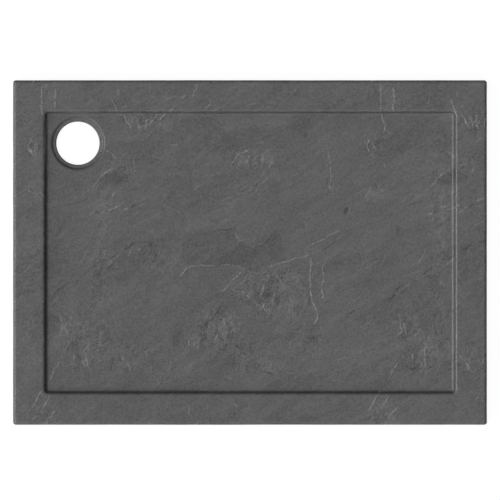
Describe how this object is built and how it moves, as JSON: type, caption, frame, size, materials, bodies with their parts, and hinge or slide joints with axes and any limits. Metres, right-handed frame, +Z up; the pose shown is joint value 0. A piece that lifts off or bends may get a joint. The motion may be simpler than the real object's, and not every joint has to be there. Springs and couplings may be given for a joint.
{
  "type": "shower tray",
  "caption": "Low rectangular shower tray with a slate-effect face, a corner waste hole and a honeycomb-backed resin casting.",
  "frame": {"origin": "middle of the footprint, on the ground", "axes": "+X along the long side, +Y to the back wall, +Z up; the waste is in the corner at -X, +Y"},
  "size_m": [1.1, 0.8, 0.04],
  "materials": {
    "slate_face": "matt dark grey with a cleft-slate relief",
    "glass_laminate": "glass-fibre laminate",
    "resin_casting": "mineral-filled resin, as cast",
    "ring_moulding": "black moulding",
    "block_moulding": "black moulding"
  },
  "bodies": {
    "root": {"slate_cap": "slate_face", "glass_mat": "glass_laminate", "resin_core": "resin_casting", "waste_ring": "ring_moulding", "leg_block_1": "block_moulding", "leg_block_2": "block_moulding", "leg_block_3": "block_moulding", "leg_block_4": "block_moulding", "leg_block_5": "block_moulding", "leg_block_6": "block_moulding", "leg_block_7": "block_moulding", "leg_block_8": "block_moulding"}
  },
  "joints": []
}
